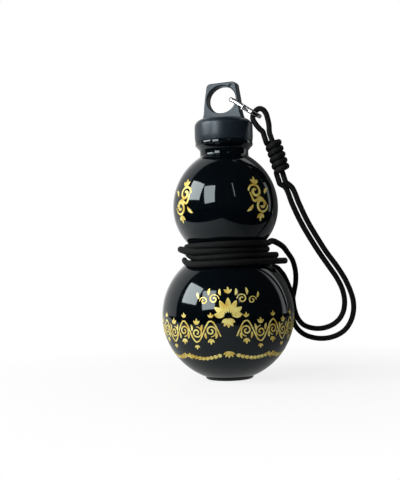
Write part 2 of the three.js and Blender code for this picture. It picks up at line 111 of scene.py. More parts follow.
def flatten(thing, depth):
    """Joins the triangles of the flat faces at Y = depth and -depth, and shades them as flat."""
    def flat(points):
        return all(abs(abs(p.y) - depth * MM) < TINY for p in points)

    work = bmesh.new()
    work.from_mesh(thing.data)
    points = [p for p in work.verts if flat([p.co])]
    edges = [e for e in work.edges if flat([p.co for p in e.verts])]
    bmesh.ops.dissolve_limit(work, angle_limit=FLAT_ANGLE, verts=points, edges=edges)
    for face in work.faces:
        if flat([p.co for p in face.verts]):
            face.smooth = False
    work.to_mesh(thing.data)
    work.free()


def arc(r, z, radius, start, end, step=2.0):
    count = max(2, math.ceil(abs(end - start) / step))
    points = []
    for i in range(count + 1):
        a = math.radians(start + (end - start) * i / count)
        points.append((r + radius * math.cos(a), z + radius * math.sin(a)))
    return points


def angle_of(centre, point):
    return math.degrees(math.atan2(point[1] - centre[1], point[0] - centre[0]))


def tube_faces(rows, sides, first=0):
    """The quads between rows of points round a tube."""
    faces = []
    for low in range(first, first + (rows - 1) * sides, sides):
        high = low + sides
        for k in range(sides):
            m = (k + 1) % sides
            faces.append((low + k, low + m, high + m, high + k))
    return faces


def lathe(name, profile, segments):
    """Turns a profile of radii and heights about Z. It closes where it reaches the axis."""
    points, faces, rings = [], [], []
    for r, z in profile:
        if r < TINY:
            rings.append([len(points)])
            points.append((0, 0, z))
            continue
        rings.append(range(len(points), len(points) + segments))
        for i in range(segments):
            a = 2 * math.pi * i / segments
            points.append((r * math.cos(a), r * math.sin(a), z))
    for low, high in zip(rings, rings[1:]):
        for i in range(segments):
            j = (i + 1) % segments
            if len(low) == 1:
                faces.append((low[0], high[j], high[i]))
            elif len(high) == 1:
                faces.append((low[i], low[j], high[0]))
            else:
                faces.append((low[i], low[j], high[j], high[i]))
    return add_object(name, points, faces, 30)


def combine(thing, tool, operation):
    """Joins the tool to the thing, or cuts it away, and removes the tool."""
    modifier = thing.modifiers.new("join", "BOOLEAN")
    modifier.operation = operation
    modifier.solver = "MANIFOLD"
    modifier.object = tool
    graph = bpy.context.evaluated_depsgraph_get()
    mesh = bpy.data.meshes.new_from_object(thing.evaluated_get(graph))
    thing.modifiers.clear()
    old, thing.data = thing.data, mesh
    bpy.data.meshes.remove(old)
    bpy.data.meshes.remove(tool.data)


def place(thing, matrix):
    """Moves the mesh itself by a matrix in millimetres."""
    shift = matrix.copy()
    shift.translation = matrix.translation * MM
    thing.data.transform(shift)
    thing.data.update()
    return thing


# Bottle, drawn with the same arcs as the CAD model

LOWER = (0, 47.8)
LOWER_RADIUS = 49.1
UPPER_HEIGHT = 127.4
UPPER_RADIUS = 39.1
BASE_CURVE = 38.6
CROWN_CURVE = 44.2
WAIST_FILLET = 10
WALL = 2
BASE = (UPPER_RADIUS - BASE_CURVE, UPPER_HEIGHT)
CROWN = (UPPER_RADIUS - CROWN_CURVE, UPPER_HEIGHT)
FOOT_RADIUS = 18
FOOT_FILLET = 2
NECK_RADIUS = 18.05
NECK_FILLET = 2.5
NECK_CENTRE = (NECK_RADIUS + NECK_FILLET, 166.42)
COLLAR_TOP = 175.4
COLLAR_RADIUS = 21.4
COLLAR_BAND = 2.6
COLLAR_TAPER = 3
COLLAR_LOW = COLLAR_TOP - COLLAR_BAND
FINISH_RADIUS = 17.4
FINISH_BORE = 14.9
LIP_TOP = 188.4
INNER_FLOOR = 3
EDGE = 0.8
SMALL_EDGE = 0.5
FINE_EDGE = 0.3
PUNT = [(0, 1), (6, 1), (9.7, 1), (10, 0.95), (10.9, 0.05), (11.2, 0), (14, 0)]
COLLAR_FOOT = [(0, -0.4), (0.15, 0)]


def meet(a, reach_a, b, reach_b):
    """The point at the given distances from a and b, on the right of the way from a to b."""
    dr, dz = b[0] - a[0], b[1] - a[1]
    span = math.hypot(dr, dz)
    along = (span ** 2 + reach_a ** 2 - reach_b ** 2) / (2 * span)
    across = math.sqrt(reach_a ** 2 - along ** 2)
    return (a[0] + (dr * along + dz * across) / span, a[1] + (dz * along - dr * across) / span)


WAIST = meet(LOWER, LOWER_RADIUS + WAIST_FILLET, BASE, BASE_CURVE + WAIST_FILLET)
WAIST_LOW = angle_of(LOWER, WAIST)
WAIST_HIGH = angle_of(BASE, WAIST)
NECK_LOW = angle_of(CROWN, NECK_CENTRE)


def bottle_outside():
    foot_top = LOWER[1] - math.sqrt(LOWER_RADIUS ** 2 - FOOT_RADIUS ** 2)
    return [
        *PUNT,
        *arc(FOOT_RADIUS - FOOT_FILLET, FOOT_FILLET, FOOT_FILLET, -90, 0, 15),
        *arc(*LOWER, LOWER_RADIUS, angle_of(LOWER, (FOOT_RADIUS, foot_top)), WAIST_LOW),
        *arc(*WAIST, WAIST_FILLET, WAIST_LOW + 180, WAIST_HIGH + 180, 6)[1:],
        *arc(*BASE, BASE_CURVE, WAIST_HIGH, 0)[1:],
        *arc(*CROWN, CROWN_CURVE, 0, NECK_LOW)[1:],
        *arc(*NECK_CENTRE, NECK_FILLET, NECK_LOW - 180, -180, 8)[1:],
        *((NECK_RADIUS + out, COLLAR_LOW - COLLAR_TAPER + up) for out, up in COLLAR_FOOT),
        (COLLAR_RADIUS - EDGE, COLLAR_LOW - 0.1),
        *arc(COLLAR_RADIUS - EDGE, COLLAR_LOW + EDGE, EDGE, -60, 0, 15),
        *arc(COLLAR_RADIUS - FINE_EDGE, COLLAR_TOP - FINE_EDGE, FINE_EDGE, 0, 90, 30),
        (FINISH_RADIUS + FINE_EDGE, COLLAR_TOP), (FINISH_RADIUS, COLLAR_TOP + FINE_EDGE),
        *arc(FINISH_RADIUS - EDGE, LIP_TOP - EDGE, EDGE, 0, 90, 15),
    ]


def bottle_inside():
    lower, base, crown = LOWER_RADIUS - WALL, BASE_CURVE - WALL, CROWN_CURVE - WALL
    bore_foot = (FINISH_BORE, CROWN[1] + math.sqrt(crown ** 2 - (FINISH_BORE - CROWN[0]) ** 2))
    floor_edge = (math.sqrt(lower ** 2 - (LOWER[1] - INNER_FLOOR) ** 2), INNER_FLOOR)
    return [
        (FINISH_BORE + SMALL_EDGE, LIP_TOP), (FINISH_BORE, LIP_TOP - SMALL_EDGE),
        *arc(*CROWN, crown, angle_of(CROWN, bore_foot), 0, 4),
        *arc(*BASE, base, 0, WAIST_HIGH, 4)[1:],
        *arc(*WAIST, WAIST_FILLET + WALL, WAIST_HIGH + 180, WAIST_LOW + 180, 8)[1:],
        *arc(*LOWER, lower, WAIST_LOW, angle_of(LOWER, floor_edge), 4)[1:],
        (0, INNER_FLOOR),
    ]


THREAD_PITCH = 6
THREAD_START = 177.4
THREAD_STEPS = 72
THREAD_FADE_STEPS = 8
THREAD_LEAST = 0.05
THREAD_SUNK = 0.15
THREAD_CREST_SHARE = 0.45


def screw_thread(name, wall_radius, crest, middle, half, high):
    """A closed ridge on a right-hand helix, which fades into the wall at both ends."""
    climb = high - THREAD_START
    turns = climb / THREAD_PITCH
    steps = round(THREAD_STEPS * turns)
    points = []
    outward = 1 if crest > wall_radius else -1
    for i in range(steps + 1):
        a = 2 * math.pi * turns * i / steps
        fade = min(1, i / THREAD_FADE_STEPS, (steps - i) / THREAD_FADE_STEPS)
        z = THREAD_START + climb * i / steps + middle
        tip = wall_radius + (crest - wall_radius) * max(THREAD_LEAST, fade)
        root = wall_radius - outward * THREAD_SUNK
        flat = half * THREAD_CREST_SHARE
        for r, dz in ((root, -half), (tip, -flat), (tip, flat), (root, half)):
            points.append((r * math.cos(a), r * math.sin(a), z + dz))
    faces = tube_faces(steps + 1, 4)
    faces.append((0, 1, 2, 3))
    faces.append(tuple(4 * steps + k for k in (3, 2, 1, 0)))
    return add_object(name, points, faces, 40)


body = lathe("bottle_shell", bottle_outside() + bottle_inside(), 224)
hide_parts("gourd_body")
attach(body, "bottle")
neck_thread = screw_thread(
    "neck_thread", FINISH_RADIUS, crest=18.3, middle=0, half=1, high=186.4)
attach(neck_thread, "bottle")


# Cap shell and its carry loop

CAP_BOTTOM = 175.7
CAP_BORE = 19
CAP_RADIUS = 21.7
CAP_CEILING = 191.0
CAP_TOP = 194.0
CAP_SHOULDER = 5.5
CAP_CROWN_CURVE = 95
CAP_TURN = Matrix.Rotation(math.radians(-23), 4, "Z")
CEILING_RIB = [(11.6, 0), (11.6, 1.6), (11.8, 1.8), (12.4, 1.8), (12.6, 1.6), (12.6, 0)]
SKIRT_INSET = 0.9
SKIRT_FLARE = [(0.12, 2.6), (0, 4)]
LOOP_HOLE = (11.4, 10.0)
LOOP_HOLE_HEIGHT = 207.4
LOOP_TOP = 220.0
LOOP_HALF = 3.6
LOOP_BEVEL = 0.9
LOOP_SEGMENTS = 240
DIMPLE_PROFILE = [(0, -2), (1.9, -2), (1.7, 0.15), (1.6, 0.9), (1.2, 1.2), (0, 1.2)]
DIMPLE_PLACE = (8, -LOOP_HALF, 216.7)
SUPPORT_INSET = 0.07
PARALLEL = 1e-9


def cap_profile():
    floor = CAP_TOP - CAP_CROWN_CURVE
    out = CAP_RADIUS - CAP_SHOULDER
    up = floor + math.sqrt((CAP_CROWN_CURVE - CAP_SHOULDER) ** 2 - out ** 2)
    end = angle_of((0, floor), (out, up))
    return [
        (0, CAP_CEILING),
        *((r, CAP_CEILING - depth) for r, depth in CEILING_RIB),
        (CAP_BORE - FINE_EDGE, CAP_CEILING), (CAP_BORE, CAP_CEILING - FINE_EDGE),
        (CAP_BORE, CAP_BOTTOM), (CAP_RADIUS - SKIRT_INSET, CAP_BOTTOM),
        *arc(CAP_RADIUS - SKIRT_INSET, CAP_BOTTOM + SMALL_EDGE, SMALL_EDGE, -90, 0, 18),
        *((CAP_RADIUS - gap, CAP_BOTTOM + rise) for gap, rise in SKIRT_FLARE),
        *arc(out, up, CAP_SHOULDER, 0, end, 6), *arc(0, floor, CAP_CROWN_CURVE, end, 90, 1.2)[1:],
    ]


def quadratic(a, b, c, count):
    points = []
    for i in range(count):
        t = i / count
        first, second, third = (1 - t) ** 2, 2 * t * (1 - t), t * t
        points.append(tuple(first * p + second * q + third * r for p, q, r in zip(a, b, c)))
    return points


def loop_outline():
    """The loop's edge across X and Z, from the right of its foot to the left."""
    middle, foot_half, top_half, corner = 14.3, 16.2, 12.2, 4.2
    sunk, flare, bulge = 2.4, 1.8, (13.6, 208.6)
    foot, shoulder = CAP_TOP - sunk, LOOP_TOP - corner
    low, knee = LOOP_HOLE_HEIGHT - LOOP_HOLE[1], LOOP_HOLE_HEIGHT - LOOP_HOLE[1] / 2
    corner_end = (top_half - corner, LOOP_TOP)
    right = [
        (foot_half - 1, foot),
        *quadratic((foot_half, foot + flare), (middle, low), (middle, knee), 24),
        *quadratic((middle, knee), bulge, (top_half, shoulder), 24),
        *quadratic((top_half, shoulder), (top_half, LOOP_TOP), corner_end, 20),
        corner_end,
    ]
    return right + [(-x, z) for x, z in reversed(right)]


def spoke(k, count):
    return 2 * math.pi * (k + 0.5) / count - math.pi


def around(outline, centre, count):
    """The outline's points at equal turns about a centre, counted from the left by its foot."""
    found = []
    for k in range(count):
        a = spoke(k, count)
        way = (math.cos(a), math.sin(a))
        best = None
        for p, q in zip(outline, outline[1:] + outline[:1]):
            px, pz = p[0] - centre[0], p[1] - centre[1]
            ex, ez = q[0] - p[0], q[1] - p[1]
            cross = way[0] * ez - way[1] * ex
            if abs(cross) < PARALLEL:
                continue
            reach = (px * ez - pz * ex) / cross
            share = (px * way[1] - pz * way[0]) / cross
            if reach > 0 and -TINY <= share <= 1 + TINY:
                best = reach if best is None else max(best, reach)
        found.append((centre[0] + way[0] * best, centre[1] + way[1] * best))
    return found


def inset(outline, depth):
    count = len(outline)
    moved = []
    for i, (x, z) in enumerate(outline):
        before, after = outline[i - 1], outline[(i + 1) % count]
        tx, tz = after[0] - before[0], after[1] - before[1]
        length = math.hypot(tx, tz)
        moved.append((x - tz / length * depth, z + tx / length * depth))
    return moved


def bevelled_plate(name, outer, hole, half, bevel, steps):
    """A plate across Z with rounded edges. outer and hole give their outline for an inset depth.

    A ring on each flat face, close to the bevel, keeps the shading of the face flat."""
    section = [(outer, bevel + SUPPORT_INSET, -half)]
    for i in range(steps + 1):
        a = math.pi / 2 * i / steps
        section.append((outer, bevel * (1 - math.sin(a)), -half + bevel * (1 - math.cos(a))))
    section += [(ring, depth, -z) for ring, depth, z in reversed(section)]
    if hole:
        section += [(hole, depth, z) for _, depth, z in reversed(section)]
    rings = [[(x, y, z) for x, y in ring(depth)] for ring, depth, z in section]
    count = len(rings[0])
    points = [p for ring in rings for p in ring]
    faces = []
    pairs = list(zip(range(len(rings)), range(1, len(rings))))
    if hole:
        pairs.append((len(rings) - 1, 0))
    else:
        faces.append(tuple(range(count)))
        faces.append(tuple(range(len(points) - count, len(points))))
    for low, high in pairs:
        for i in range(count):
            j = (i + 1) % count
            faces.append((low * count + i, low * count + j, high * count + j, high * count + i))
    return add_object(name, points, faces, 40)


def make_loop():
    base = around(loop_outline(), (0, LOOP_HOLE_HEIGHT), LOOP_SEGMENTS)

    def outer(depth):
        return inset(base, depth)

    def hole(depth):
        x, z = LOOP_HOLE[0] + depth, LOOP_HOLE[1] + depth
        ring = []
        for k in range(LOOP_SEGMENTS):
            a = spoke(k, LOOP_SEGMENTS)
            reach = 1 / math.hypot(math.cos(a) / x, math.sin(a) / z)
            ring.append((reach * math.cos(a), LOOP_HOLE_HEIGHT + reach * math.sin(a)))
        return ring

    plate = bevelled_plate("carry_loop", outer, hole, LOOP_HALF, LOOP_BEVEL, 6)
    place(plate, Matrix.Rotation(math.pi / 2, 4, "X"))
    dimple = lathe("dimple", DIMPLE_PROFILE, 32)
    place(dimple, Matrix.Translation(DIMPLE_PLACE) @ Matrix.Rotation(-math.pi / 2, 4, "X"))
    combine(plate, dimple, "DIFFERENCE")
    return plate


cap = lathe("screw_cap", cap_profile(), 192)
combine(cap, make_loop(), "UNION")
smooth(cap, 35)
flatten(cap, LOOP_HALF)
place(cap, CAP_TURN)
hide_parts("cap")
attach(cap, "cap")
cap_thread = screw_thread(
    "cap_thread", CAP_BORE, crest=17.9, middle=THREAD_PITCH / 2, half=0.8, high=183.4)
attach(cap_thread, "cap")


# Carabiner in its own frame, as in the CAD model: X from the bow to the cord, +Y the gate's side

BAR = 2.4
HALF_THICK = 1.6
FRAME_START, FRAME_END = -1.2, 25.3
FRAME_CORNER = 5
FRAME_BEVEL = 1.1
LEG = 6.6
GATE_TIP, RIVET_X, SLOT_END = 3.1, 13.0, 19.0
CHEEK_START = 11.3
SLOT_HALF = 0.9
BORE_RADIUS = 0.9
CUT_MARGIN = 0.3
CUT_REACH = 4
BOW_PLACE = (8.3, -1.5, 206.4)
CARABINER_LEAN = math.radians(34.2)
CARABINER = (
    CAP_TURN
    @ Matrix.Translation(BOW_PLACE)
    @ Matrix.Rotation(CARABINER_LEAN, 4, "Y")
    @ Matrix.Rotation(math.pi, 4, "X")
)

# The gate about its rivet, and the upper half of the rivet as radii and heights
GATE = CARABINER @ Matrix.Translation((RIVET_X, LEG, 0))
GATE_HALF = 1.2
BLADE_START, BLADE_END = -9.9, -2.3
BLADE_CORNER, BLADE_BEVEL = 1.0, 0.75
TAIL_START = -4.4
TAIL_HALF_THICK = 0.6
TAIL_CORNER, TAIL_BEVEL = 1.19, 0.12
RIVET_HEAD = [(0.6, 1.6), (0.6, 1.9), (1.1, 1.95), (1.02, 2.12), (0.8, 2.24), (0.5, 2.3), (0, 2.3)]


def round_rectangle(x0, x1, half, corner, steps=12):
    points = []
    centres = (
        (x1 - corner, corner - half, -90), (x1 - corner, half - corner, 0),
        (x0 + corner, half - corner, 90), (x0 + corner, corner - half, 180),
    )
    for x, y, start in centres:
        points += arc(x, y, corner, start, start + 90, 90 / steps)
    return points


def block(name, x0, x1, y0, y1, z0, z1):
    points = [(x, y, z) for x in (x0, x1) for y in (y0, y1) for z in (z0, z1)]
    faces = [(0, 1, 3, 2), (4, 6, 7, 5), (0, 4, 5, 1), (2, 3, 7, 6), (0, 2, 6, 4), (1, 5, 7, 3)]
    return add_object(name, points, faces)


def rivet_bore(reach):
    profile = [(0, -reach), (BORE_RADIUS, -reach), (BORE_RADIUS, reach), (0, reach)]
    return lathe("bore", profile, 24)


def make_frame():
    half = LEG + BAR / 2

    def outer(depth):
        return round_rectangle(
            FRAME_START + depth, FRAME_END - depth, half - depth, FRAME_CORNER - depth)

    def hole(depth):
        return outer(BAR - depth)

    ring = bevelled_plate("carabiner_ring", outer, hole, HALF_THICK, FRAME_BEVEL, 8)
    across = (LEG - BAR / 2 - CUT_MARGIN, half + CUT_MARGIN)
    mouth = block("mouth", GATE_TIP - CUT_MARGIN, CHEEK_START, *across, -CUT_REACH, CUT_REACH)
    slot = block("slot", CHEEK_START - CUT_MARGIN, SLOT_END, *across, -SLOT_HALF, SLOT_HALF)
    bore = place(rivet_bore(CUT_REACH), Matrix.Translation((RIVET_X, LEG, 0)))
    for cut in (mouth, slot, bore):
        combine(ring, cut, "DIFFERENCE")
    smooth(ring, 35)
    return place(ring, CARABINER)


def make_gate():
    def blade(depth):
        return round_rectangle(
            BLADE_START + depth, BLADE_END - depth, GATE_HALF - depth, BLADE_CORNER - depth, 5)

    def tail(depth):
        return round_rectangle(
            TAIL_START + depth, GATE_HALF - depth, GATE_HALF - depth, TAIL_CORNER - depth, 8)

    gate = bevelled_plate("gate_bar", blade, None, GATE_HALF, BLADE_BEVEL, 6)
    combine(gate, bevelled_plate("tail", tail, None, TAIL_HALF_THICK, TAIL_BEVEL, 2), "UNION")
    combine(gate, rivet_bore(CUT_REACH / 2), "DIFFERENCE")
    smooth(gate, 35)
    return place(gate, GATE)


def make_rivet():
    profile = [(r, -z) for r, z in reversed(RIVET_HEAD)] + RIVET_HEAD
    return place(lathe("rivet", profile, 32), GATE)


carabiner_ring = make_frame()
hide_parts("carabiner_frame")
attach(carabiner_ring, "carabiner")
gate_bar = make_gate()
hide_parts("carabiner_gate")
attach(gate_bar, "gate")
rivet = make_rivet()
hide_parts("gate_rivet")
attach(rivet, "carabiner")


# Cord: the route's points are the ones of the CAD model

CORD_RADIUS = 2.0
SIDES = 20
PACKED_WIDENING = 0.16
STEPS_PER_TURN = 24
SPLINE_STEPS = 24
KNOT_TOP = Vector((34.6, -12, 176.6))
KNOT_TILT = math.radians(16.6)
KNOT_TURNS = 5
KNOT_PITCH = 4.55
KNOT_RADIUS = 4.45
KNOT_BEND = 3
BEND_STEPS = 3
STUB = 4
KNOT_AXIS = Vector((math.sin(KNOT_TILT), 0, -math.cos(KNOT_TILT)))
KNOT_SIDE = Vector((math.cos(KNOT_TILT), 0, math.sin(KNOT_TILT)))
KNOT_BACK = Vector((0, 1, 0))
KNOT_GIRTH = 2 * math.pi * KNOT_RADIUS
KNOT_RISE = 2 * KNOT_BEND + (KNOT_TURNS * KNOT_GIRTH - 2 * KNOT_BEND) * KNOT_PITCH / KNOT_GIRTH

EYE_ROUTE = [
    (26.4, -12, 183.3), (23.8, -11.8, 186.6), (21.9, -11.2, 189.9), (21.6, -10.9, 192.6),
    (22.6, -11.2, 194.8), (24, -11.7, 196.9), (26.6, -12.1, 198.1), (29.2, -12.2, 197.2),
    (31.3, -12.2, 194.3), (32.4, -12.1, 190.4), (33.2, -12, 186.2),
]
OUTER_UPPER = [
    (49, -11, 140), (54.2, -9.4, 127.8), (60, -7.4, 115.4), (66.8, -5.4, 103.6), (74, -3.2, 92.2),
    (81.7, -1, 81.7), (86.8, 0.8, 73.8),
]
OUTER_LOWER = [
    (87.6, 1, 72.4), (91.7, 3, 63.6), (94.2, 5, 55.4), (94.5, 7, 47.2), (92.4, 9, 39.3),
    (88, 11, 32.8), (81.5, 13.4, 28.6), (73.5, 16, 26.6), (64.8, 18.6, 27.2), (57.4, 21, 30.2),
    (52.2, 22.8, 35.6), (49.6, 23.6, 43), (49.4, 23.6, 52), (51, 22.4, 61.2), (52.6, 20.6, 70.2),
    (52.4, 18.4, 79), (50.2, 16, 87),
]
INNER_UPPER = [
    (44.1, -11, 140.2), (49.1, -9.4, 127.8), (54.8, -7.4, 115.4), (61.4, -5.4, 103.6),
    (68.4, -3.2, 92.4), (75.4, -1, 82.2), (80.2, 0.8, 75.4),
]
INNER_LOWER = [
    (81.1, 1.1, 74), (84.9, 3, 67), (87.2, 5, 60.4), (88, 7, 53.6), (87, 9, 46.8), (83.7, 11, 40.8),
    (78.2, 13, 36.6), (71, 15, 34.4), (63.6, 16.6, 34.8), (57.4, 17.5, 37.4), (53.2, 17.5, 42.6),
    (50.8, 17.2, 50), (49.6, 16.6, 58.4), (47.2, 16.5, 66.5),
]
HITCH_OUTER_END = (46, 13.5, 93.5)
HITCH_ENTRY = [(43.3, 11.2, 97), (38.5, 6.5, 100.2), (34.2, 0.5, 101.6)]
HITCH_EXIT = [(26.5, 31.4, 82.6), (38.4, 19.2, 81.4)]
HITCH_INNER_END = (41.5, 17.5, 78)


def curve_through(points, step=0.5):
    """Points at an even spacing on a centripetal spline through the given ones."""
    knots = [Vector(p) for p in points]
    knots = [2 * knots[0] - knots[1]] + knots + [2 * knots[-1] - knots[-2]]
    dense = []
    for p0, p1, p2, p3 in zip(knots, knots[1:], knots[2:], knots[3:]):
        d0, d1, d2 = (p1 - p0).length ** 0.5, (p2 - p1).length ** 0.5, (p3 - p2).length ** 0.5
        t1 = ((p1 - p0) / d0 - (p2 - p0) / (d0 + d1) + (p2 - p1) / d1) * d1
        t2 = ((p2 - p1) / d1 - (p3 - p1) / (d1 + d2) + (p3 - p2) / d2) * d1
        for i in range(SPLINE_STEPS):
            t = i / SPLINE_STEPS
            a = 2 * t ** 3 - 3 * t ** 2 + 1
            b = t ** 3 - 2 * t ** 2 + t
            dense.append(a * p1 + b * t1 + (1 - a) * p2 + (t ** 3 - t ** 2) * t2)
    dense.append(knots[-2])
    return even(dense, step)


def even(dense, step):
    """Points at an even spacing, close to the step, along a line of dense ones."""
    lengths = [0.0]
    for a, b in zip(dense, dense[1:]):
        lengths.append(lengths[-1] + (b - a).length)
    count = max(2, round(lengths[-1] / step))
    points, k = [], 0
    for i in range(count + 1):
        want = lengths[-1] * i / count
        while k < len(dense) - 2 and lengths[k + 1] < want:
            k += 1
        share = (want - lengths[k]) / (lengths[k + 1] - lengths[k])
        points.append(dense[k].lerp(dense[k + 1], min(1, share)))
    return points


def length_of(points):
    return sum((b - a).length for a, b in zip(points, points[1:]))


def swept_cord(name, line, packed=None):
    """A closed tube on a line, with a map of its turn and its length for the braid.

    Where turns press on each other, packed is the direction in which their section widens."""
    ways = [(b - a).normalized() for a, b in zip(line, line[1:])]
    tangents = [ways[0], *((a + b).normalized() for a, b in zip(ways, ways[1:])), ways[-1]]
    across = tangents[0].orthogonal().normalized()
    points = []
    for here, way in zip(line, tangents):
        across = (across - way * across.dot(way)).normalized()
        other = way.cross(across)
        for k in range(SIDES):
            a = 2 * math.pi * k / SIDES
            offset = (across * math.cos(a) + other * math.sin(a)) * CORD_RADIUS
            if packed:
                offset += packed * offset.dot(packed) * PACKED_WIDENING
            points.append(here + offset)
    count = len(line)
    faces = tube_faces(count, SIDES)
    faces.append(tuple(reversed(range(SIDES))))
    faces.append(tuple(range((count - 1) * SIDES, count * SIDES)))
    thing = add_object(name, points, faces, 60)
    wrap = thing.data.uv_layers.new(name="braid")
    girth = 2 * math.pi * CORD_RADIUS
    step = length_of(line) / (count - 1)
    for i, face in enumerate(thing.data.polygons[:(count - 1) * SIDES]):
        for corner in face.loop_indices:
            row, turn = divmod(thing.data.loops[corner].vertex_index, SIDES)
            if turn == 0 and i % SIDES == SIDES - 1:
                turn = SIDES
            wrap.data[corner].uv = (turn / SIDES, row * step / girth)
    return thing


def knot_point(across, back, along):
    return KNOT_TOP + KNOT_SIDE * across + KNOT_BACK * back + KNOT_AXIS * along


def knot_line():
    """The knot's turns, laid out flat as way round and way along, and then wrapped."""
    lead = [(0, -STUB), (0, -STUB / 2)]
    for i in range(BEND_STEPS + 1):
        a = math.pi / 2 * i / BEND_STEPS
        lead.append((KNOT_BEND * (1 - math.cos(a)), KNOT_BEND * math.sin(a)))
    flat = list(lead)
    steps = STEPS_PER_TURN * KNOT_TURNS
    run = KNOT_TURNS * KNOT_GIRTH - 2 * KNOT_BEND
    rise = KNOT_RISE - 2 * KNOT_BEND
    for i in range(1, steps):
        flat.append((KNOT_BEND + run * i / steps, KNOT_BEND + rise * i / steps))
    flat += [(KNOT_TURNS * KNOT_GIRTH - w, KNOT_RISE - s) for w, s in reversed(lead)]
    points = []
    for w, s in flat:
        a = math.pi + w / KNOT_RADIUS
        points.append(knot_point(KNOT_RADIUS * math.cos(a), -KNOT_RADIUS * math.sin(a), s))
    return curve_through(points)


def eye_line():
    start = knot_point(-KNOT_RADIUS, 0, -STUB)
    down = [knot_point(0, 0, s) for s in (-STUB, 0, KNOT_RISE / 2, KNOT_RISE, KNOT_RISE + STUB)]
    return curve_through([start, start - KNOT_AXIS * CORD_RADIUS, *EYE_ROUTE, *down])


HITCH_GAP = 0.6
HITCH_SPACING = 4.5
HITCH_TOP = WAIST[1] + 1.27 * HITCH_SPACING
HITCH_POINTS = range(1, 92)
LEFT, LEFT_WIDTH, LIFT_WIDTH = math.pi, math.pi / 2, math.radians(58)
RIGHT, RIGHT_WIDTH = math.radians(8), math.radians(50)
LEFT_RISE = (0.05, 0.78, 0.95, 0.95)
LEFT_SLACK = (0, 1.18, 0, 0)
RIGHT_SLACK = (0, 0.3, 1.7, 2.2, 0)


def clear_of_bottle(z):
    """The radius at which a turn of the hitch clears the bottle's wall."""
    reach = CORD_RADIUS + HITCH_GAP
    low, high = LOWER_RADIUS + reach, BASE_CURVE + reach
    if z < LOWER[1] + low * math.sin(math.radians(WAIST_LOW)):
        return math.sqrt(low ** 2 - (z - LOWER[1]) ** 2)
    if z > BASE[1] + high * math.sin(math.radians(WAIST_HIGH)):
        return BASE[0] + math.sqrt(high ** 2 - (z - BASE[1]) ** 2)
    return WAIST[0] - math.sqrt((WAIST_FILLET - reach) ** 2 - (z - WAIST[1]) ** 2)


def hump(angle, centre, width):
    """1 at the centre, which falls to 0 at the width on both sides."""
    off = math.atan2(math.sin(angle - centre), math.cos(angle - centre)) / width
    return math.cos(off * math.pi / 2) if abs(off) < 1 else 0


def hitch_point(turn):
    """A point of the hitch. Its turns lift at the left and stand off the bottle at both sides."""
    a = -2 * math.pi * turn
    left = hump(a, LEFT, LEFT_WIDTH)
    lift = hump(a, LEFT, LIFT_WIDTH) ** 2
    right = hump(a, RIGHT, RIGHT_WIDTH) ** 2
    here = math.floor(turn)
    slack = LEFT_SLACK[here] * left + RIGHT_SLACK[math.floor(turn + 0.5)] * right
    z = HITCH_TOP + HITCH_SPACING * (LEFT_RISE[here] * lift - turn)
    r = clear_of_bottle(z) + HITCH_SPACING * slack
    return (r * math.cos(a), r * math.sin(a), z)


def hitch_line():
    turns = [hitch_point(i / STEPS_PER_TURN) for i in HITCH_POINTS]
    return curve_through([HITCH_OUTER_END, *HITCH_ENTRY, *turns, *HITCH_EXIT, HITCH_INNER_END])


def free_lines(start, upper, lower, end, way):
    """One smooth strand from the knot to the hitch, in two pieces that meet end to end."""
    first = [start, start + KNOT_AXIS * CORD_RADIUS, *upper]
    last = [*lower, Vector(end) - way * CORD_RADIUS, end]
    line = curve_through(first + last)
    parting = (Vector(upper[-1]) + Vector(lower[0])) / 2
    cut = min(range(len(line)), key=lambda i: (line[i] - parting).length)
    return line[:cut + 1], line[cut:]


knot_path = knot_line()
hitch_path = hitch_line()
eye_path = eye_line()
outer_pair = free_lines(
    knot_point(0, 0, KNOT_RISE + STUB), OUTER_UPPER, OUTER_LOWER, HITCH_OUTER_END,
    (hitch_path[1] - hitch_path[0]).normalized())
inner_pair = free_lines(
    knot_point(-KNOT_RADIUS, 0, KNOT_RISE + STUB), INNER_UPPER, INNER_LOWER, HITCH_INNER_END,
    (hitch_path[-2] - hitch_path[-1]).normalized())

eye = swept_cord("lanyard_eye", eye_path)
knot = swept_cord("lanyard_knot", knot_path, KNOT_AXIS)
hitch = swept_cord("lanyard_hitch", hitch_path, Vector((0, 0, 1)))
outer_upper = swept_cord("lanyard_outer_upper", outer_pair[0])
outer_lower = swept_cord("lanyard_outer_lower", outer_pair[1])
inner_upper = swept_cord("lanyard_inner_upper", inner_pair[0])
inner_lower = swept_cord("lanyard_inner_lower", inner_pair[1])
cords = [eye, knot, hitch, outer_upper, outer_lower, inner_upper, inner_lower]
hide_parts("cord_eye")
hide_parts("cord_knot")
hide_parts("waist_hitch")
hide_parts("cord_outer_upper")
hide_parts("cord_outer_lower")
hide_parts("cord_inner_upper")
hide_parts("cord_inner_lower")
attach(eye, "carabiner")
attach(knot, "carabiner")
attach(hitch, "bottle")
for strand in (outer_upper, inner_upper):
    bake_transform(strand)
for strand in (outer_lower, inner_lower):
    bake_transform(strand)


# Gold ornament: brush-like strokes laid on the bulbs, in millimetres across and up the surface

SUNK, PROUD = -0.05, 0.08
STROKE_STEP = 0.6
SPIRAL_STEPS = 26
SPIRAL_SHRINK = 0.82
PETAL_STEPS = 10
VINE_HEIGHT = -9.5
VINE_SWING = 7.6
VINE_WAVE = 21.38
VINE_FIRST = 12.4
VINE_STROKE = 1.15
VINE_STEM = [5.5 + 2.605 * i for i in range(57)]
SWAG_POINTS = 10
SWAG_HEIGHT, SWAG_DROP = -27.5, 3.4

# Petals of the lotus, as angle and share of the full length
LOTUS_PETALS = ((90, 1), (62, 0.95), (118, 0.95), (34, 0.84), (146, 0.84), (8, 0.7), (172, 0.7))
# Right half of its scrolls: x, y, radius, first angle, turns, width
LOTUS_SCROLLS = ((9.8, 13.2, 3.6, 180, -1.4, 1.0), (17.2, 12.0, 3.0, 0, 1.3, 0.9))
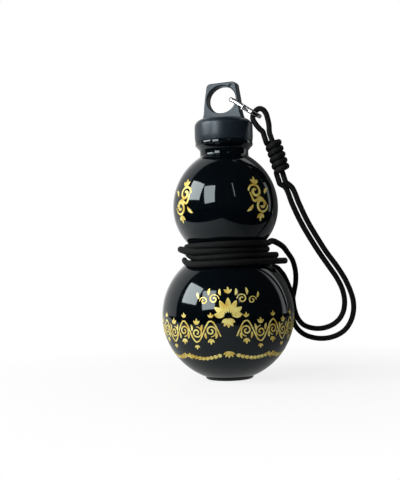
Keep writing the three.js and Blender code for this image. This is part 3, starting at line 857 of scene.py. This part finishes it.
# Right half of the leaves over them: x, y, lean from upright, length, width, curl
LOTUS_LEAVES = (
    (5.0, 15.6, 30, 5.2, 1.9, 25), (13.4, 15.8, 10, 5.6, 1.8, 20), (20.4, 13.4, 45, 5.0, 1.7, 30),
)


def on_lower(x, y, lift, turn):
    e = y / LOWER_RADIUS
    r = LOWER_RADIUS + lift
    a = math.radians(turn - 90) + x / (LOWER_RADIUS * math.cos(e))
    reach = r * math.cos(e)
    return (reach * math.cos(a), reach * math.sin(a), LOWER[1] + r * math.sin(e))


def on_upper(x, y, lift, turn):
    centre, radius = (CROWN, CROWN_CURVE) if y > 0 else (BASE, BASE_CURVE)
    e = y / radius
    flat = centre[0] + radius * math.cos(e)
    a = math.radians(turn - 90) + x / flat
    r = centre[0] + (radius + lift) * math.cos(e)
    return (r * math.cos(a), r * math.sin(a), centre[1] + (radius + lift) * math.sin(e))


def bend_through(points):
    line = curve_through([(x, y, 0) for x, y in points], STROKE_STEP)
    return [(p.x, p.y) for p in line]


class Ornament:
    """Collects strokes and maps them onto a bulb as thin closed ribbons."""

    def __init__(self, name, surface):
        self.name, self.surface = name, surface
        self.points, self.faces = [], []

    def stroke(self, line, width, turn=0, start=0.25, end=0.05, swell=0.0):
        """start and end are shares of the width there. swell turns the brush stroke to a petal."""
        count = len(line)
        first = len(self.points)
        for i, (x, y) in enumerate(line):
            before, after = line[max(0, i - 1)], line[min(count - 1, i + 1)]
            tx, ty = after[0] - before[0], after[1] - before[1]
            length = math.hypot(tx, ty) or 1
            t = i / (count - 1)
            bow = math.sin(math.pi * t)
            brush = start + (end - start) * t + (1 - max(start, end)) * bow ** 0.6
            half = width / 2 * ((1 - swell) * brush + swell * bow ** 0.8)
            nx, ny = -ty / length * half, tx / length * half
            for side, lift in ((1, SUNK), (1, PROUD), (-1, PROUD), (-1, SUNK)):
                self.points.append(self.surface(x + nx * side, y + ny * side, lift, turn))
        self.faces += tube_faces(count, 4, first)
        self.faces.append(tuple(first + k for k in (3, 2, 1, 0)))
        self.faces.append(tuple(first + 4 * (count - 1) + k for k in range(4)))

    def spiral(self, x, y, radius, start, turns, width, turn=0):
        line = []
        count = round(abs(turns) * SPIRAL_STEPS)
        for i in range(count + 1):
            t = i / count
            a = math.radians(start) + 2 * math.pi * turns * t
            r = radius * (1 - SPIRAL_SHRINK * t)
            line.append((x + r * math.cos(a), y + r * math.sin(a)))
        self.stroke(line, width, turn, 0.5, 0.7)

    def petal(self, x, y, angle, length, width, turn=0, curl=0.0):
        line = []
        for i in range(PETAL_STEPS + 1):
            t = i / PETAL_STEPS
            a = math.radians(angle + curl * t)
            line.append((x + length * t * math.cos(a), y + length * t * math.sin(a)))
        self.stroke(line, width, turn, 0.02, 0.02, swell=1.0)

    def finish(self):
        return add_object(self.name, self.points, self.faces, 50)


def fan(art, x, y, angle, spread, count, length, width, turn=0):
    """Petals from one point, spread evenly to both sides of an angle, the outer ones shorter."""
    for k in range(count):
        share = (k - (count - 1) / 2) / ((count - 1) / 2)
        art.petal(x, y, angle + spread * share, length * (1 - 0.18 * share ** 2), width, turn)


def lotus(art, x, y, size):
    base, full, width = 0.2 * size, 0.82, 0.3 * size
    for angle, length in LOTUS_PETALS:
        a = math.radians(angle)
        foot = (x + base * math.cos(a), y + base * math.sin(a))
        art.petal(*foot, angle, length * size * full, width)
    fan(art, x, y - 0.12 * size, -90, 62, 5, 0.5 * size, 0.2 * size)


def vine(art, side):
    """Half a band round the bulb: a waving stem with a scroll in each of its waves, and leaves."""
    stem = []
    for x in VINE_STEM:
        swing = VINE_SWING * math.cos((x - VINE_FIRST) * 2 * math.pi / VINE_WAVE)
        stem.append((side * x, VINE_HEIGHT + swing))
    art.stroke(bend_through(stem), VINE_STROKE, 0, 0.8, 0.8)
    for k in range(14 if side > 0 else 13):
        x = side * (VINE_FIRST + k * VINE_WAVE / 2)
        up = 1 if k % 2 else -1
        art.spiral(x, VINE_HEIGHT - up * 0.6, 4.2, 90 * up, side * up * 1.5, VINE_STROKE)
        for way in (-side, side):
            foot = (x + way * 3.9, VINE_HEIGHT + up * 0.4)
            art.petal(*foot, 90 * up + way * 12, 4.8, 1.7, 0, -way * 20)
        fan(art, x, VINE_HEIGHT + up * 5.0, 90 * up, 40, 3, 4.6, 1.7)
        fan(art, x, VINE_HEIGHT - up * (VINE_SWING + 2.2), -90 * up, 44, 3, 3.6, 1.4)


def garland(art, side, turn):
    """A hanging swag of leaf pairs on a stem under the vine."""
    swag = []
    for k in range(SWAG_POINTS):
        drop = SWAG_DROP * math.sin(math.pi * k / (SWAG_POINTS - 1))
        swag.append((side * (5 + 3 * k), SWAG_HEIGHT - drop))
    art.stroke(bend_through(swag), 0.8, turn, 0.8, 0.5)
    for here, after in zip(swag, swag[1:]):
        heading = math.degrees(math.atan2(after[1] - here[1], after[0] - here[0]))
        for lean in (-40, 40):
            art.petal(*here, heading + lean, 3.4, 1.35, turn, -lean / 2)


def lower_ornament():
    art = Ornament("gold_lower", on_lower)
    lotus(art, 0, 1.0, 13)
    for side in (-1, 1):
        for x, y, radius, first, turns, width in LOTUS_SCROLLS:
            start = first if side > 0 else 180 - first
            art.spiral(side * x, y, radius, start, side * turns, width)
        for x, y, lean, length, width, curl in LOTUS_LEAVES:
            art.petal(side * x, y, 90 - side * lean, length, width, 0, side * curl)
        vine(art, side)
    fan(art, 0, 17.0, 90, 40, 3, 5.2, 1.8)
    for turn in (0, 90, 180, 270):
        garland(art, -1, turn)
        garland(art, 1, turn)
        fan(art, 0, -24.5, -90, 58, 5, 6.0, 1.9, turn)
        fan(art, 32.6, -27.6, -90, 40, 3, 4.6, 1.6, turn)
    return art.finish()


def cloud_scroll(art, side, turn):
    """Two opposed spirals joined by a stroke, with a fan and a leaf at each end."""
    wide, leaf = 2.2, 2.3
    art.spiral(side * 2.8, 8.6, 5.6, 90 - side * 90, side * 1.35, wide, turn)
    art.spiral(-side * 2.6, -0.8, 5.8, 90 + side * 90, side * 1.4, wide, turn)
    link = [(side * x, y) for x, y in ((7.6, 8), (4.4, 1.6), (-1.2, 4.2), (-7.7, -0.4))]
    art.stroke(bend_through(link), 2, turn)
    fan(art, side * 1.9, 14.0, 90, 42, 3, 6.0, leaf, turn)
    fan(art, -side * 1.9, -6.8, -90, 42, 3, 6.0, leaf, turn)
    art.petal(-side * 5.4, 6.8, 90 + side * 20, 7.0, leaf, turn, side * 25)
    art.petal(side * 5.4, -0.8, -90 + side * 20, 7.0, leaf, turn, side * 25)


def upper_ornament():
    art = Ornament("gold_upper", on_upper)
    for k in range(4):
        cloud_scroll(art, 1 - 2 * (k % 2), 90 * k - 52)
    return art.finish()


ornament = [lower_ornament(), upper_ornament()]
for art in ornament:
    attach(art, "bottle")


# Materials

NOISE_RANGE = (0.3, 0.7)
BRAID_ACROSS, BRAID_ALONG = 8, 6


def new_material(name):
    material = bpy.data.materials.new(name)
    material.use_nodes = True
    tree = material.node_tree
    return material, tree, tree.nodes["Principled BSDF"]


def feed(tree, value, socket):
    """Sets a number on a socket, or links an output to it."""
    if isinstance(value, (int, float)):
        socket.default_value = value
    else:
        tree.links.new(value, socket)


def node(tree, kind, **values):
    made = tree.nodes.new(kind)
    for key, value in values.items():
        if hasattr(made, key):
            setattr(made, key, value)
        else:
            made.inputs[key.replace("_", " ")].default_value = value
    return made


def math_node(tree, operation, *values):
    made = tree.nodes.new("ShaderNodeMath")
    made.operation = operation
    for socket, value in zip(made.inputs, values):
        feed(tree, value, socket)
    return made.outputs["Value"]


def mix_of(tree, factor, first, second):
    made = tree.nodes.new("ShaderNodeMix")
    for name, value in (("Factor", factor), ("A", first), ("B", second)):
        feed(tree, value, made.inputs[name])
    return made.outputs["Result"]


def range_of(tree, value, span, low, high):
    """Maps the span to low..high, and holds the ends beyond it."""
    start, end = span
    spread = node(
        tree, "ShaderNodeMapRange", From_Min=start, From_Max=end, To_Min=low, To_Max=high)
    tree.links.new(value, spread.inputs["Value"])
    return spread.outputs["Result"]


def noise_of(tree, scale, detail):
    noise = node(tree, "ShaderNodeTexNoise", Scale=scale, Detail=detail)
    coordinates = tree.nodes.new("ShaderNodeTexCoord").outputs["Object"]
    tree.links.new(coordinates, noise.inputs["Vector"])
    return noise.outputs["Fac"]


def colour_by(tree, shader, value, *stops):
    """Two colours by a value. Each stop is a position and the colour there."""
    ramp = tree.nodes.new("ShaderNodeValToRGB")
    tree.links.new(value, ramp.inputs["Fac"])
    for element, (position, colour) in zip(ramp.color_ramp.elements, stops):
        element.position = position
        element.color = (*colour, 1)
    tree.links.new(ramp.outputs["Color"], shader.inputs["Base Color"])


def roughen(tree, shader, scale, detail, low, high):
    level = range_of(tree, noise_of(tree, scale, detail), NOISE_RANGE, low, high)
    tree.links.new(level, shader.inputs["Roughness"])


def bump_of(tree, shader, height, strength, distance):
    bump = node(tree, "ShaderNodeBump", Strength=strength, Distance=distance)
    tree.links.new(height, bump.inputs["Height"])
    tree.links.new(bump.outputs["Normal"], shader.inputs["Normal"])


def gloss_material():
    material, tree, shader = new_material("gloss_blue_black")
    dark, light = (0.0008, 0.0017, 0.0026), (0.0015, 0.0027, 0.0040)
    colour_by(tree, shader, noise_of(tree, 26, 4), (0.3, dark), (0.75, light))
    roughen(tree, shader, 60, 5, 0.03, 0.075)
    shader.inputs["IOR"].default_value = 1.5
    shader.inputs["Specular Tint"].default_value = (0.84, 0.97, 1, 1)
    return material


def satin_material():
    material, tree, shader = new_material("satin_charcoal")
    dark, light = (0.0062, 0.0112, 0.0178), (0.0088, 0.0142, 0.0216)
    colour_by(tree, shader, noise_of(tree, 90, 4), (0.3, dark), (0.7, light))
    roughen(tree, shader, 140, 3, 0.3, 0.38)
    bump_of(tree, shader, noise_of(tree, 2600, 2), 0.15, 0.00003)
    shader.inputs["Specular Tint"].default_value = (0.8, 0.93, 1, 1)
    return material


def silicone_material():
    material, tree, shader = new_material("pale_silicone")
    dark, light = (0.62, 0.62, 0.6), (0.7, 0.7, 0.68)
    colour_by(tree, shader, noise_of(tree, 120, 3), (0.3, dark), (0.7, light))
    roughen(tree, shader, 200, 2, 0.5, 0.65)
    return material


def chrome_material():
    material, tree, shader = new_material("polished_chrome")
    dark, light = (0.48, 0.49, 0.51), (0.60, 0.61, 0.62)
    colour_by(tree, shader, noise_of(tree, 300, 4), (0.3, dark), (0.7, light))
    roughen(tree, shader, 240, 3, 0.17, 0.24)
    shader.inputs["Metallic"].default_value = 1
    return material


def gold_material():
    material, tree, shader = new_material("gold_print")
    deep, pale = (0.60, 0.41, 0.06), (0.84, 0.76, 0.25)
    colour_by(tree, shader, noise_of(tree, 170, 4), (0.36, deep), (0.64, pale))
    roughen(tree, shader, 700, 3, 0.3, 0.5)
    bump_of(tree, shader, noise_of(tree, 1500, 3), 0.25, 0.00005)
    shader.inputs["Metallic"].default_value = 0.35
    return material


def braid_material():
    """Two sets of strands that cross over and under each other round the cord. The colour is
    painted shade: darker in the grooves between strands.
    """
    material, tree, shader = new_material("black_braid")
    wrap = node(tree, "ShaderNodeUVMap", uv_map="braid")
    parts = tree.nodes.new("ShaderNodeSeparateXYZ")
    tree.links.new(wrap.outputs["UV"], parts.inputs["Vector"])
    round_cord = math_node(tree, "MULTIPLY", parts.outputs["X"], BRAID_ACROSS)
    along_cord = math_node(tree, "MULTIPLY", parts.outputs["Y"], BRAID_ALONG)
    rising = math_node(tree, "ADD", round_cord, along_cord)
    falling = math_node(tree, "SUBTRACT", round_cord, along_cord)
    humps, rows = [], []
    for way in (rising, falling):
        wave = math_node(tree, "SINE", math_node(tree, "MULTIPLY", way, math.pi))
        humps.append(math_node(tree, "ABSOLUTE", wave))
        rows.append(math_node(tree, "FLOOR", way))
    over = math_node(tree, "PINGPONG", math_node(tree, "ADD", *rows), 1)
    height = mix_of(tree, over, *humps)
    # Painted shade: the colour follows the strands' height, darker in the grooves between them and
    # lighter on their tops.
    dark, light = (0.0006, 0.0009, 0.0011), (0.0030, 0.0038, 0.0046)
    colour_by(tree, shader, height, (0.05, dark), (0.8, light))
    roughen(tree, shader, 800, 3, 0.62, 0.8)
    bump_of(tree, shader, height, 0.8, 0.00025)
    shader.inputs["Specular IOR Level"].default_value = 0.2
    return material


def dress(thing, material):
    thing.data.materials.clear()
    thing.data.materials.append(material)


gloss, satin = gloss_material(), satin_material()
chrome, gold, braid = chrome_material(), gold_material(), braid_material()
for thing in (body, neck_thread):
    dress(thing, gloss)
for thing in (cap, cap_thread):
    dress(thing, satin)
for thing in (carabiner_ring, gate_bar, rivet):
    dress(thing, chrome)
for thing in ornament:
    dress(thing, gold)
for thing in cords:
    dress(thing, braid)
for name, material in (("seal_ring", silicone_material()), ("gate_spring", chrome)):
    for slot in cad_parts[name].material_slots:
        slot.material = material


# Floor, backdrop, world and lamps, in metres

FLOOR = [(-1.4, -1.2, 0), (1.4, -1.2, 0), (1.4, 0.9, 0), (-1.4, 0.9, 0)]
BACKDROP = [(-0.5, 0.9, 0), (0.05, 0.9, 0), (0.05, 0.9, 0.9), (-0.5, 0.9, 0.9)]
BOTTLE_MIDDLE = (0, 0, 0.11)

# The floor shows its shading near the bottle, and turns to plain white further out
FLOOR_GREY = (0.82, 0.82, 0.82, 1)
FLOOR_ROUGHNESS = 0.6
SHADING_SPAN, WHITE_NEAR = (0.08, 0.28), 0.82
# Its reflection fades to the right, and ends at a wedge with the tip towards the camera
MIRROR_SPAN, MIRROR_RIGHT = (-0.25, 0.1), 0.18
WEDGE_SHIFT, WEDGE_SLOPE, WEDGE_TIP = 0.04, 0.9, 0.27

# The world in reflections, by direction: dark until BACK_FROM in Y, then white
FRONT_LEVEL = 0.022
RIGHT_FROM = 0.05
BACK_FROM, BACK_FROM_RIGHT, BACK_FADE = 0.17, 0.11, 0.05
CORNER_FROM, CORNER_DIM = 0.6, 0.9
LEFT_DIM = 0.25
FILL_LEVEL = 0.22


def stage_plane(name, corners, material):
    mesh = bpy.data.meshes.new(name)
    mesh.from_pydata([Vector(p) for p in corners], [], [(0, 1, 2, 3)])
    plane = bpy.data.objects.new(name, mesh)
    scene.collection.objects.link(plane)
    mesh.materials.append(material)


def seen_plainly(tree, path):
    """1 for what is seen by the camera, or through something clear."""
    rays = (path.outputs["Is Camera Ray"], path.outputs["Is Transmission Ray"])
    return math_node(tree, "MAXIMUM", *rays)


def pale_floor():
    material, tree, shader = new_material("pale_floor")
    shader.inputs["Base Color"].default_value = FLOOR_GREY
    shader.inputs["Roughness"].default_value = FLOOR_ROUGHNESS
    glow = tree.nodes.new("ShaderNodeEmission")
    mix = tree.nodes.new("ShaderNodeMixShader")
    path = tree.nodes.new("ShaderNodeLightPath")
    glossy = path.outputs["Is Glossy Ray"]
    position = tree.nodes.new("ShaderNodeNewGeometry").outputs["Position"]
    parts = tree.nodes.new("ShaderNodeSeparateXYZ")
    tree.links.new(position, parts.inputs["Vector"])
    away = tree.nodes.new("ShaderNodeVectorMath")
    away.operation = "LENGTH"
    tree.links.new(position, away.inputs["Vector"])
    fade = range_of(tree, away.outputs["Value"], SHADING_SPAN, WHITE_NEAR, 1)
    share = math_node(tree, "MULTIPLY", seen_plainly(tree, path), fade)
    tree.links.new(math_node(tree, "MAXIMUM", share, glossy), mix.inputs["Fac"])
    aside = math_node(tree, "ABSOLUTE", math_node(tree, "ADD", parts.outputs["X"], WEDGE_SHIFT))
    slope = math_node(tree, "MULTIPLY", aside, WEDGE_SLOPE)
    edge = math_node(tree, "SUBTRACT", slope, WEDGE_TIP)
    inside = math_node(tree, "GREATER_THAN", parts.outputs["Y"], edge)
    across = range_of(tree, parts.outputs["X"], MIRROR_SPAN, 1, MIRROR_RIGHT)
    mirrored = math_node(tree, "MULTIPLY", across, inside)
    tree.links.new(mix_of(tree, glossy, 1, mirrored), glow.inputs["Strength"])
    tree.links.new(shader.outputs["BSDF"], mix.inputs[1])
    tree.links.new(glow.outputs["Emission"], mix.inputs[2])
    tree.links.new(mix.outputs["Shader"], tree.nodes["Material Output"].inputs["Surface"])
    return material


def pale_backdrop():
    material, tree, shader = new_material("pale_backdrop")
    tree.nodes.remove(shader)
    glow = tree.nodes.new("ShaderNodeEmission")
    tree.links.new(glow.outputs["Emission"], tree.nodes["Material Output"].inputs["Surface"])
    return material


def make_world():
    """White to the camera, and a weak fill for the light on surfaces.

    Reflections see a dark front, a pale back that is dimmer on the left, and a dark far corner
    on the right."""
    world = bpy.data.worlds.new("studio")
    scene.world = world
    world.use_nodes = True
    tree = world.node_tree
    back = tree.nodes["Background"]
    path = tree.nodes.new("ShaderNodeLightPath")
    direction = tree.nodes.new("ShaderNodeTexCoord").outputs["Generated"]
    parts = tree.nodes.new("ShaderNodeSeparateXYZ")
    tree.links.new(direction, parts.inputs["Vector"])
    right = math_node(tree, "GREATER_THAN", parts.outputs["X"], RIGHT_FROM)
    shift = math_node(tree, "MULTIPLY", right, BACK_FROM_RIGHT)
    edge = math_node(tree, "ADD", shift, BACK_FROM)
    past = math_node(tree, "SUBTRACT", parts.outputs["Y"], edge)
    behind = range_of(tree, past, (0, BACK_FADE), FRONT_LEVEL, 1)
    far = math_node(tree, "GREATER_THAN", parts.outputs["Y"], CORNER_FROM)
    corner = math_node(tree, "MULTIPLY", math_node(tree, "MULTIPLY", right, far), CORNER_DIM)
    left = math_node(tree, "MULTIPLY", math_node(tree, "SUBTRACT", 1, right), LEFT_DIM)
    dimmed = math_node(tree, "SUBTRACT", 1, math_node(tree, "MAXIMUM", left, corner))
    seen = math_node(tree, "MULTIPLY", behind, dimmed)
    level = mix_of(tree, path.outputs["Is Glossy Ray"], FILL_LEVEL, seen)
    white = mix_of(tree, seen_plainly(tree, path), level, 1)
    back.inputs["Color"].default_value = (1, 1, 1, 1)
    tree.links.new(white, back.inputs["Strength"])


def softbox(name, spot, width, height, power, roll=0.0):
    """A rectangular lamp that faces the middle of the bottle."""
    data = bpy.data.lights.new(name, "AREA")
    data.shape = "RECTANGLE"
    data.size, data.size_y = width, height
    data.energy = power
    lamp = bpy.data.objects.new(name, data)
    scene.collection.objects.link(lamp)
    away = Vector(spot) - Vector(BOTTLE_MIDDLE)
    facing = away.to_track_quat("Z", "Y").to_matrix().to_4x4()
    rolled = Matrix.Rotation(math.radians(roll), 4, "Z")
    lamp.matrix_world = Matrix.Translation(spot) @ facing @ rolled


stage_plane("floor", FLOOR, pale_floor())
stage_plane("backdrop", BACKDROP, pale_backdrop())
make_world()
softbox("key_left", (-0.86, -0.26, 0.57), width=0.56, height=0.5, power=8.5)
softbox("key_front", (-0.54, -0.76, 0.5), width=0.4, height=0.56, power=5.5, roll=8)
softbox("strip", (0.29, -0.82, 0.62), width=0.03, height=0.45, power=0.16, roll=4)
